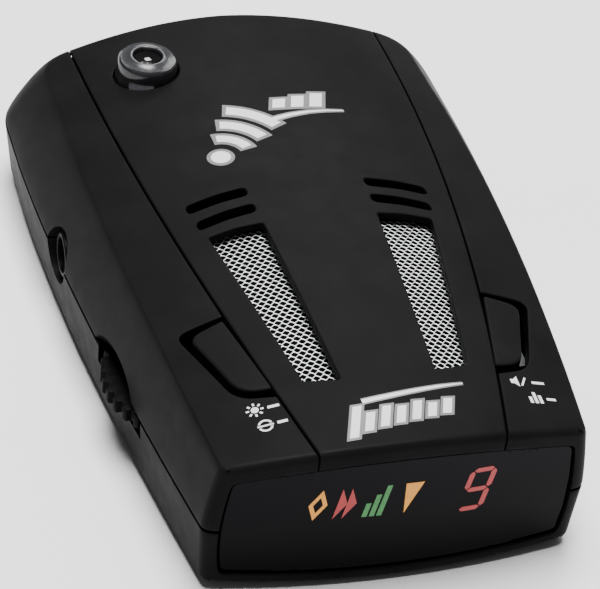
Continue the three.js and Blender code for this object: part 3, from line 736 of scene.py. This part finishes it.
def lit(name, loops, slot):
    """A mark that shines through the front window."""
    behind = casing(inset=-1, front=WINDOW_SINK + 0.06, roof=-2, floor=-2)
    skin = cut(casing(front=WINDOW_SINK - 0.03), behind)
    mark = film(loops, skin, FACE_CUT_LOW, 56, forward)
    bpy.data.objects.remove(skin)
    finish_piece(mark, name, slot)


# ---------- finishing a piece ----------


def finish_piece(piece, name, slot, nodes=(), body="housing", look=None, smooth=38):
    """Turns millimetres into metres, smooths the shading and puts the piece on its body."""
    piece.name = name
    piece.data.name = name
    piece.data.transform(Matrix.Scale(MM, 4))
    piece.data.materials.clear()
    piece.data.materials.append(LOOKS[look or slot])
    piece.data.polygons.foreach_set("use_smooth", [True] * len(piece.data.polygons))
    piece.data.set_sharp_from_angle(angle=math.radians(smooth))
    weights = piece.modifiers.new("weighted normals", "WEIGHTED_NORMAL")
    weights.keep_sharp = True
    weights.weight = 100
    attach(piece, body)
    if nodes:
        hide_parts(*nodes)


# ---------- materials ----------


def new_material(name, colour, roughness, **sockets):
    look = bpy.data.materials.new(name)
    look.use_nodes = True
    tree = look.node_tree
    shader = tree.nodes["Principled BSDF"]
    shader.inputs["Base Color"].default_value = (*colour, 1)
    shader.inputs["Roughness"].default_value = roughness
    for socket, value in sockets.items():
        shader.inputs[socket.replace("_", " ")].default_value = value
    return look, tree, shader


def noise(tree, scale, detail=2.0, roughness=0.5):
    """Noise in object space. Scale counts features in a metre."""
    place = tree.nodes.new("ShaderNodeTexCoord")
    made = tree.nodes.new("ShaderNodeTexNoise")
    made.inputs["Scale"].default_value = scale
    made.inputs["Detail"].default_value = detail
    made.inputs["Roughness"].default_value = roughness
    tree.links.new(place.outputs["Object"], made.inputs["Vector"])
    return made.outputs["Fac"]


def blend_colour(tree, factor, low, high, spread=(0.3, 0.7)):
    ramp = tree.nodes.new("ShaderNodeValToRGB")
    for stop, position, colour in zip(ramp.color_ramp.elements, spread, (low, high)):
        stop.position = position
        stop.color = (*colour, 1)
    tree.links.new(factor, ramp.inputs["Fac"])
    return ramp.outputs["Color"]


def spread_value(tree, factor, low, high):
    ranged = tree.nodes.new("ShaderNodeMapRange")
    ranged.inputs["From Min"].default_value = 0.3
    ranged.inputs["From Max"].default_value = 0.7
    ranged.inputs["To Min"].default_value = low
    ranged.inputs["To Max"].default_value = high
    tree.links.new(factor, ranged.inputs["Value"])
    return ranged.outputs["Result"]


def bump(tree, shader, height, depth):
    made = tree.nodes.new("ShaderNodeBump")
    made.inputs["Distance"].default_value = depth
    tree.links.new(height, made.inputs["Height"])
    tree.links.new(made.outputs["Normal"], shader.inputs["Normal"])


def surface_material(name, low, high, roughness, grain, depth, mottle=140.0, **sockets):
    """Two close tones in a slow mottle, a rippled gloss and a fine raised grain."""
    look, tree, shader = new_material(name, low, roughness[0], **sockets)
    tone = blend_colour(tree, noise(tree, mottle, 3.0), low, high)
    gloss = spread_value(tree, noise(tree, mottle * 3), *roughness)
    tree.links.new(tone, shader.inputs["Base Color"])
    tree.links.new(gloss, shader.inputs["Roughness"])
    bump(tree, shader, noise(tree, grain, 2.0, 0.6), depth)
    return look


def grey(value):
    return (value, value, value * 1.03)


# Low tone, high tone, roughness range, grain in features to a metre, grain depth in metres.
SURFACES = {
    "casing_black": (grey(0.006), grey(0.0078), (0.38, 0.46), 5200, 0.000012),
    "key_black": (grey(0.0068), grey(0.0086), (0.36, 0.43), 5200, 0.000010),
    "wheel_black": (grey(0.0025), grey(0.004), (0.5, 0.6), 4200, 0.000014),
    "jack_black": (grey(0.003), grey(0.0045), (0.3, 0.4), 3000, 0.000006),
    "frame_black": (grey(0.004), grey(0.006), (0.5, 0.6), 2500, 0.000010),
    "shade_sheet_black": (grey(0.002), grey(0.004), (0.85, 0.95), 2200, 0.000060),
    # Painted shade: near-black sheet behind the grilles and slots, so the openings read dark.
    "eye_dark": (grey(0.004), grey(0.008), (0.06, 0.12), 900, 0.000002),
    "lens_frosted": ((0.034, 0.035, 0.039), (0.042, 0.043, 0.047), (0.2, 0.26), 900, 0.000003),
    "road_window_smoked": ((0.010, 0.003, 0.004), (0.016, 0.005, 0.006), (0.06, 0.1), 900, 0.000001),
    "mesh_steel": ((0.78, 0.79, 0.80), (0.9, 0.91, 0.92), (0.3, 0.42), 3500, 0.000010),
    "bright_steel": ((0.55, 0.56, 0.57), (0.68, 0.69, 0.71), (0.2, 0.32), 1500, 0.000006),
    "screw_steel": ((0.3, 0.3, 0.31), (0.42, 0.42, 0.44), (0.3, 0.45), 2500, 0.000010),
    "cast_metal": ((0.45, 0.45, 0.44), (0.58, 0.58, 0.56), (0.4, 0.55), 1800, 0.000040),
    "board_green": ((0.003, 0.018, 0.009), (0.005, 0.026, 0.013), (0.5, 0.6), 1200, 0.000020),
    "dark_part": (grey(0.02), grey(0.03), (0.4, 0.5), 3000, 0.000008),
    "paper_cone": ((0.03, 0.028, 0.026), (0.05, 0.046, 0.042), (0.8, 0.95), 2600, 0.000060),
    "foot_rubber": (grey(0.012), grey(0.018), (0.75, 0.9), 3200, 0.000030),
    "print_grey": (grey(0.62), grey(0.70), (0.4, 0.5), 4000, 0.000004),
    "print_shade": (grey(0.11), grey(0.135), (0.4, 0.5), 4000, 0.000004),
}
# What some of the surfaces set besides.
EXTRAS = {
    "casing_black": {"Specular_IOR_Level": 0.02},
    "key_black": {"Specular_IOR_Level": 0.02},
    "wheel_black": {"Specular_IOR_Level": 0.03},
    "jack_black": {"Specular_IOR_Level": 0.04},
    "frame_black": {"Specular_IOR_Level": 0.1},
    "shade_sheet_black": {"Specular_IOR_Level": 0.02},
    "lens_frosted": {"mottle": 250.0, "Transmission_Weight": 0.35, "IOR": 1.49},
    "road_window_smoked": {"Specular_IOR_Level": 0.08},
    "mesh_steel": {"Metallic": 0.7},
    "bright_steel": {"Metallic": 1.0},
    "screw_steel": {"Metallic": 1.0},
    "cast_metal": {"Metallic": 0.95},
    "board_green": {"Specular_IOR_Level": 0.05},
}
LOOKS = {name: surface_material(name, *row, **EXTRAS.get(name, {})) for name, row in SURFACES.items()}


def lamp_material(name, low, high, strength):
    """A coloured read-out segment that glows."""
    look, tree, shader = new_material(name, low, 0.3)
    tone = blend_colour(tree, noise(tree, 900), low, high)
    tree.links.new(tone, shader.inputs["Base Color"])
    tree.links.new(tone, shader.inputs["Emission Color"])
    shader.inputs["Emission Strength"].default_value = strength
    return look


LOOKS["lamp_amber"] = lamp_material("lamp_amber", (0.72, 0.26, 0.0), (0.80, 0.31, 0.0), 0.3)
LOOKS["lamp_red"] = lamp_material("lamp_red", (0.36, 0.0, 0.0), (0.44, 0.001, 0.001), 0.12)
LOOKS["lamp_green"] = lamp_material("lamp_green", (0.005, 0.16, 0.016), (0.008, 0.2, 0.024), 0.25)


def window_material_painted_shade(name):
    """Smoked plastic with painted shade: its colour runs from dark violet at the top to near black
    along the lower edge, standing in for the dimmer reflection there.
    """
    look, tree, shader = new_material(name, (0.004, 0.0035, 0.005), 0.06, Specular_IOR_Level=0.035)
    place = tree.nodes.new("ShaderNodeTexCoord")
    split = tree.nodes.new("ShaderNodeSeparateXYZ")
    tree.links.new(place.outputs["Object"], split.inputs["Vector"])
    rise = tree.nodes.new("ShaderNodeMapRange")
    rise.inputs["From Min"].default_value = 0.004
    rise.inputs["From Max"].default_value = 0.022
    tree.links.new(split.outputs["Z"], rise.inputs["Value"])
    # Painted shade: near black at the bottom, dark violet at the top, a reflection gradient painted
    # into the colour.
    low, high = (0.0008, 0.0008, 0.001), (0.0085, 0.0075, 0.0098)
    tone = blend_colour(tree, rise.outputs["Result"], low, high, (0.0, 1.0))
    tree.links.new(tone, shader.inputs["Base Color"])
    tree.links.new(spread_value(tree, noise(tree, 400), 0.05, 0.09), shader.inputs["Roughness"])
    bump(tree, shader, noise(tree, 900), 0.000001)
    return look


LOOKS["window_smoked"] = window_material_painted_shade("window_smoked")


def clear_material(name):
    """Clear plastic with a faint grey tint."""
    tint = (0.04, 0.04, 0.045)
    look, tree, shader = new_material(name, tint, 0.06, Transmission_Weight=0.6, IOR=1.49)
    tone = blend_colour(tree, noise(tree, 300), (0.03, 0.03, 0.034), (0.05, 0.05, 0.055))
    tree.links.new(tone, shader.inputs["Base Color"])
    bump(tree, shader, noise(tree, 700), 0.000004)
    return look


LOOKS["lens_clear"] = clear_material("lens_clear")

# The CAD's own solids take their slots' looks. The speaker frame is dark behind the mesh.
for entry in frame["record"]["subparts"]:
    look_name = {"speaker_frame": "frame_black"}.get(entry["node"], entry["material_slot"])
    for material_slot in frame["nodes"][entry["node"]].material_slots:
        material_slot.material = LOOKS[look_name]

# ---------- casing shells ----------


def grille_tools(side):
    return rimmed(grille_loop(side, 0), crown, ROOF_CUT_LOW)


def slot_tool(side, row, grow):
    return rimmed(slot_loop(side, row, grow), crown, ROOF_CUT_LOW, edge=0.2)


def lower_case():
    shell = casing(part="lower")
    lip = common(casing(inset=UPPER_WALL + GAP), slab(PARTING_Z - 2, PARTING_Z + 1.3))
    front_gap = box((-60, -60, 0), (60, -46.5, 40))
    left_gap = box((-60, WHEEL["y"] - 11, 0), (-20, JACK["y"] + 6, 40))
    cut(lip, front_gap, left_gap)
    combine(shell, lip, "UNION")
    cut(shell, casing(inset=LOWER_WALL, floor=2.0))
    for x, y in CASE_SCREWS:
        post = common(upright(x, y, SCREW_POST_RADIUS, 2.3, PARTING_Z - GAP / 2), casing())
        combine(shell, post, "UNION")
        head_seat = turned([(3.0, 0), (2.7, 1.75), (2.7, 4.2)], (x, y))
        cut(shell, upright(x, y, 1.5, 0, PARTING_Z + 1), head_seat)
    pad = rounded(TAPE_PAD, (2,) * 4)
    rings = [upward(grown(pad, -0.3), TAPE_PAD_Z), upward(grown(pad, -0.08), TAPE_PAD_Z + 0.08),
             upward(pad, TAPE_PAD_Z + 0.3), upward(pad, 2.3)]
    combine(shell, loft("pad", rings), "UNION")
    for x, y in FEET:
        cut(shell, upright(x, y, FOOT_RADIUS + GAP, 0, FOOT_SEAT_Z))
    cut(shell, window_tool(GAP, True), *jack_tools())
    low, high = WHEEL["low"] - 0.6, PARTING_Z + 0.1
    return cut(shell, upright(WHEEL["x"], WHEEL["y"], WHEEL["radius"] + 1, low, high, 96))


def seam_stop():
    """Fills the bottom of both panel seams where they run off the road end."""
    outer, inner = (loft("stop", [upward(panel_loop(grow), z) for z in (20, 40)])
                    for grow in (GAP / 2, 0.02 - GAP / 2))
    stop = common(cut(outer, inner), casing(roof=0.3))
    return common(stop, box((-40, 48.4, 18.8), (40, 60, 40)))


def upper_case():
    shell = cut(casing(part="upper"), casing(inset=UPPER_WALL, roof=3.2))
    for x, y in CASE_SCREWS:
        post = upright(x, y, SCREW_POST_RADIUS, PARTING_Z + GAP / 2, 22)
        combine(shell, common(post, casing(inset=0.5, roof=1)), "UNION")
        cut(shell, upright(x, y, 1.3, 0, 17.5))
    seat = cut(panel_tool(GAP / 2, True), casing(inset=0, front=1.5, roof=PANEL_THICKNESS + GAP))
    cut(shell, seat)
    combine(shell, seam_stop(), "UNION")
    for side in (-1, 1):
        cut(shell, rimmed(key_loop(side, 0), crown, ROOF_CUT_LOW))
        ledge = loft("ledge", [upward(grille_loop(side, 1.3), z) for z in (15, 40)])
        cut(shell, cut(ledge, casing(roof=GRILLE_DEPTH + 0.5)))
        cut(shell, grille_tools(side), slot_tool(side, 0, 0.2), slot_tool(side, 1, 0.2))
    scoop = ellipsoid((-34.4, WHEEL["y"], PARTING_Z - 0.6), (4.2, 9.2, 4.6))
    cut(shell, *lens_tools(), window_tool(GAP, True), *jack_tools(), scoop, rear_window_tool(GAP, True))
    return shell


def centre_panel():
    plate = cut(casing(), casing(inset=0, front=1.2, roof=PANEL_THICKNESS))
    common(plate, panel_tool(-GAP / 2, False, low=16.0))
    cut(plate, window_tool(GAP, True))
    for side in (-1, 1):
        cut(plate, grille_tools(side), slot_tool(side, 0, 0), slot_tool(side, 1, 0))
    cut(plate, lens_seat(ROOF_CUT_LOW))
    return common(plate, slab(20.5, 40))


def key(side):
    plate = cut(casing(), casing(roof=2.2))
    common(plate, rimmed(key_loop(side, 0.9), crown, 16.0, opens=False, edge=0.35))
    peg = upright(side * KEY_PEG["x"], KEY_PEG["y"], KEY_PEG["radius"], 21.3, 23.4)
    return combine(plate, peg, "UNION")


def grille_shade_sheet():
    """Thin black sheet under the roof, behind the grilles and the slots: painted shade, put there so
    the openings read dark.
    """
    skin = cut(casing(roof=3.4), casing(roof=3.7))
    return common(skin, box((-18.2, -41, 15), (18.2, 6, 40)))


def display_window():
    glass = cut(casing(front=WINDOW_SINK), casing(inset=-2, front=2, roof=-3, floor=-3))
    return common(glass, window_tool(0, False, window_height))


def sunk_rear_height(loop):
    return rear_height(loop) - 0.5


def rear_window():
    skin = cut(casing(inset=0.5, front=0), casing(inset=2.1, front=0))
    common(skin, rimmed(rear_window_loop(0), sunk_rear_height, FACE_CUT_LOW, rearward, opens=False))
    return common(skin, box((-30, 40, 0), (30, 60, 40)))


finish_piece(lower_case(), "shell_lower", "casing_black", ["lower_case"])
finish_piece(upper_case(), "shell_upper", "casing_black", ["upper_case"])
finish_piece(centre_panel(), "panel_plate", "casing_black", ["centre_panel"])
for side_name, side_sign in SIDES.items():
    finish_piece(key(side_sign), f"key_cap_{side_name}", "key_black", [f"button_{side_name}"],
                 body=f"key_{side_name}")
finish_piece(display_window(), "window_glass", "window_smoked", ["display_window"])
finish_piece(rear_window(), "road_window_glass", "road_window_smoked", ["rear_window"])
# Painted shade: a black sheet hides the bright inside behind the grilles and slots.
finish_piece(grille_shade_sheet(), "grille_shade_sheet", "dark_part", look="shade_sheet_black")
for side_name, side_sign in SIDES.items():
    finish_piece(grille_mesh(side_sign), f"speaker_mesh_{side_name}", "mesh_steel",
                 [f"grille_{side_name}"], smooth=60)
finish_piece(lens_body(), "laser_lens_body", "lens_clear", ["laser_lens"], smooth=30)
finish_piece(lens_collar(), "laser_lens_collar", "lens_clear", look="lens_frosted", smooth=40)
finish_piece(lens_eye(), "laser_lens_eye", "dark_part", look="eye_dark", smooth=40)
finish_piece(thumb_wheel(), "volume_thumb_wheel", "wheel_black", ["volume_wheel"], body="volume")
finish_piece(inlet(), "power_inlet", "jack_black", ["dc_jack"])
finish_piece(inlet_pin(), "power_inlet_pin", "bright_steel", ["dc_jack_pin"])
for number, (x, y) in enumerate(CASE_SCREWS, 1):
    finish_piece(case_screw(x, y), f"case_screw_head_{number}", "screw_steel",
                 [f"case_screw_{number}"])
for number, (x, y) in enumerate(FEET, 1):
    finish_piece(rubber_foot(x, y), f"foot_pad_{number}", "foot_rubber", [f"rubber_foot_{number}"])

# ---------- marks on the roof and the window ----------


def swept_line(spine, widths, grow):
    """Thin band along a spine of points, as wide at each as its width."""
    spine = np.array(spine, float)
    ahead = np.gradient(spine, axis=0)
    normal = np.column_stack([-ahead[:, 1], ahead[:, 0]])
    normal = normal / np.linalg.norm(ahead, axis=1, keepdims=True)
    reach = normal * (np.array(widths)[:, None] / 2 + grow)
    return np.vstack([spine + reach, (spine - reach)[::-1]])


def wave_emblem(grow):
    """Radio waves fanning out from a dot, three rising bars and a swept underline."""
    g, dot, heading = grow, (-10.7, 11.0), 52
    loops = [disc(*dot, 1.5 + g)]
    for radius, half, turn in ((4.7, 0.8, 32), (8.3, 0.9, 25), (12.2, 1.0, 20)):
        spread = turn + math.degrees(g / radius)
        loops.append(arc_band(*dot, radius - half - g, radius + half + g,
                              heading - spread, heading + spread))
    for k, height in enumerate((2.4, 3.1, 3.8)):
        loops.append(slanted(bar(0.3 + 3.0 * k - g, 22.1 - g, 2.0 + 2 * g, height + 2 * g), 0.3, 22.1))
    spine = [(-0.3, 19.1), (2.6, 20.0), (5.6, 20.65), (8.6, 20.95), (11.6, 21.05)]
    loops.append(swept_line(spine, (0.9, 0.75, 0.55, 0.35, 0.12), g * 0.6))
    return loops


def bar_emblem(grow):
    """Leaning bars of changing height under a swept line."""
    g = grow
    ends = ((-50.4, -45.0), (-49.6, -46.4), (-49.2, -45.6), (-48.9, -45.9),
            (-48.6, -45.3), (-48.3, -45.8), (-47.9, -45.2))
    loops = []
    for k, (low, high) in enumerate(ends):
        upright_bar = bar(-8.6 + 2.3 * k - g, low - g, 1.25 + 2 * g, high - low + 2 * g)
        loops.append(slanted(upright_bar, 0.35, low))
    spine = [(-5.2, -44.3), (-1.5, -43.9), (2.4, -43.4), (6.2, -42.9), (9.8, -42.5)]
    loops.append(swept_line(spine, (0.7, 0.65, 0.55, 0.4, 0.15), g * 0.6))
    return loops


printed("emblem_shade", wave_emblem(0.6), 0.02, "print_shade")
printed("emblem_mark", wave_emblem(0.0), 0.045, "print_grey", sink=0.02)
printed("front_emblem_shade", bar_emblem(0.4), 0.02, "print_shade")
printed("front_emblem_mark", bar_emblem(0.0), 0.045, "print_grey", sink=0.02)


def light_icon(x, y, size):
    """A disc with short rays."""
    loops = [disc(x, y, size * 0.22)]
    for k in range(8):
        turn = k * math.pi / 4
        across = np.array([-math.sin(turn), math.cos(turn)]) * size * 0.06
        along = np.array([math.cos(turn), math.sin(turn)])
        start = [x, y] + along * size * 0.32
        end = [x, y] + along * size * 0.5
        loops.append(np.array([start - across, end - across, end + across, start + across]))
    return loops


def shield_icon(x, y, size):
    """A ring split by a bar."""
    arcs = [arc_band(x, y, size * 0.34, size * 0.47, start, start + 140) for start in (20, 200)]
    return arcs + [bar(x - size * 0.5, y - size * 0.06, size, size * 0.12)]


def speaker_icon(x, y, size):
    """A small loudspeaker with a slash."""
    cone = np.array([(-0.45, -0.16), (-0.25, -0.16), (0.02, -0.42),
                     (0.02, 0.42), (-0.25, 0.16), (-0.45, 0.16)])
    slash = np.array([(0.12, -0.3), (0.22, -0.36), (0.6, 0.3), (0.5, 0.36)])
    return [cone * size + [x, y], slash * size + [x, y]]


def town_icon(x, y, size):
    """Three blocks of different height."""
    return [bar(x + size * offset, y - size * 0.45, size * 0.22, size * height)
            for offset, height in ((-0.5, 0.55), (-0.16, 0.95), (0.18, 0.7))]


left_marks = light_icon(-19.3, -41.9, 2.4) + shield_icon(-18.6, -45.0, 2.2)
left_marks += [bar(-17.6, -42.2, 1.6, 0.45), bar(-17.0, -45.2, 1.4, 0.45)]
printed("label_left", left_marks, 0.03, "print_grey")
right_marks = speaker_icon(18.3, -41.9, 2.4) + town_icon(20.0, -45.0, 2.2)
right_marks += [bar(20.4, -42.2, 1.9, 0.45), bar(21.6, -45.3, 1.4, 0.45)]
printed("label_right", right_marks, 0.03, "print_grey")

SYMBOL_LOW = 12.4
SYMBOL_WIDTH = 2.6
SYMBOL_HEIGHT = 5.5
LEAN = 0.18


def symbol(points, x):
    """Outline on a unit square, set at x in the window and leaned."""
    loop = np.array(points, float) * [SYMBOL_WIDTH, SYMBOL_HEIGHT] + [x, SYMBOL_LOW]
    return slanted(loop, LEAN, SYMBOL_LOW)


half_diamond = [(0.5, 1), (0, 0.5), (0.5, 0), (0.5, 0.24), (0.24, 0.5), (0.5, 0.76)]
other_half = [(0.5, 1), (0.5, 0.76), (0.76, 0.5), (0.5, 0.24), (0.5, 0), (1, 0.5)]
lit("symbol_diamond", [symbol(half_diamond, -14.1), symbol(other_half, -14.1)], "lamp_amber")
arrows = [[(tail, 0), (tail + 0.52, 0.5), (tail, 1)] for tail in (0, 0.5)]
lit("symbol_double_arrow", [symbol(arrow, -10.1) for arrow in arrows], "lamp_red")
steps = [bar(0.04 + k * 0.4, 0, 0.28, top) for k, top in enumerate((0.45, 0.72, 1.0))]
lit("symbol_steps", [symbol(step, -6.1) for step in steps], "lamp_green")
lit("symbol_drop", [symbol([(0, 1), (0.5, 0), (1, 1)], -1.3)], "lamp_amber")

DIGIT = {"x": 7.6, "z": 11.1, "width": 4.0, "height": 7.8, "stroke": 0.8, "gap": 0.12}


def digit_nine():
    """Seven-segment nine: every segment but the lower left one."""
    x0, z0, w, h, stroke, gap = DIGIT.values()
    half, mid = stroke / 2, h / 2

    def level(z):
        left, right = stroke + gap, w - stroke - gap
        return [(half + gap, z), (left, z - half), (right, z - half),
                (w - half - gap, z), (right, z + half), (left, z + half)]

    def post(x, low, high):
        bottom, top = low + half + gap, high - half - gap
        return [(x, low + gap), (x + half, bottom), (x + half, top),
                (x, high - gap), (x - half, top), (x - half, bottom)]

    parts = [level(half), level(mid), level(h - half), post(w - half, half, mid),
             post(w - half, mid, h - half), post(half, mid, h - half)]
    return [slanted(np.array(part) + [x0, z0], LEAN, z0) for part in parts]


lit("digit_nine", digit_nine(), "lamp_red")

# ---------- floor, light and camera ----------


def make_stage():
    floor = piece_of("floor", [(-3, -3, 0), (3, -3, 0), (3, 3, 0), (-3, 3, 0)], [(0, 1, 2, 3)])
    look, tree, shader = new_material("floor_white", (0.9, 0.9, 0.9), 0.8)
    tone = blend_colour(tree, noise(tree, 30), (0.88, 0.88, 0.88), (0.91, 0.91, 0.91))
    tree.links.new(tone, shader.inputs["Base Color"])
    floor.data.materials.append(look)


def area_light(name, place, target, size, power):
    data = bpy.data.lights.new(name, "AREA")
    data.shape = "RECTANGLE"
    data.size, data.size_y = size
    data.energy = power
    lamp = bpy.data.objects.new(name, data)
    bpy.context.scene.collection.objects.link(lamp)
    lamp.location = place
    aim = (Matrix.Translation(target).translation - lamp.location).to_track_quat("-Z", "Y")
    lamp.rotation_mode = "QUATERNION"
    lamp.rotation_quaternion = aim


def make_light():
    world = bpy.data.worlds.new("studio")
    bpy.context.scene.world = world
    world.use_nodes = True
    background = world.node_tree.nodes["Background"]
    background.inputs["Color"].default_value = (1, 1, 1, 1)
    background.inputs["Strength"].default_value = 0.1
    area_light("overhead_soft", (-0.02, 0.1, 0.95), (0, 0, 0), (0.5, 0.5), 24)
    area_light("rear_soft", (0.3, 0.8, 0.68), (0, 0, 0.02), (0.6, 0.4), 5)


def make_camera():
    """Long lens at the front left, looking down, rolled a little as in the photograph."""
    data = bpy.data.cameras.new("camera")
    data.sensor_width = 36
    data.lens = 150
    data.shift_x = 0.0255
    data.shift_y = -0.0036
    data.clip_start = 0.01
    data.clip_end = 20
    camera = bpy.data.objects.new("camera", data)
    bpy.context.scene.collection.objects.link(camera)
    heading, fall, roll = (math.radians(angle) for angle in (20.422, 38.945, 7.882))
    place = Matrix.Translation((-104.65 * MM, -276.31 * MM, 246.51 * MM))
    aim = Matrix.Rotation(-heading, 4, "Z") @ Matrix.Rotation(math.pi / 2 - fall, 4, "X")
    camera.matrix_world = place @ aim @ Matrix.Rotation(roll, 4, "Z")
    bpy.context.scene.camera = camera


make_stage()
make_light()
make_camera()
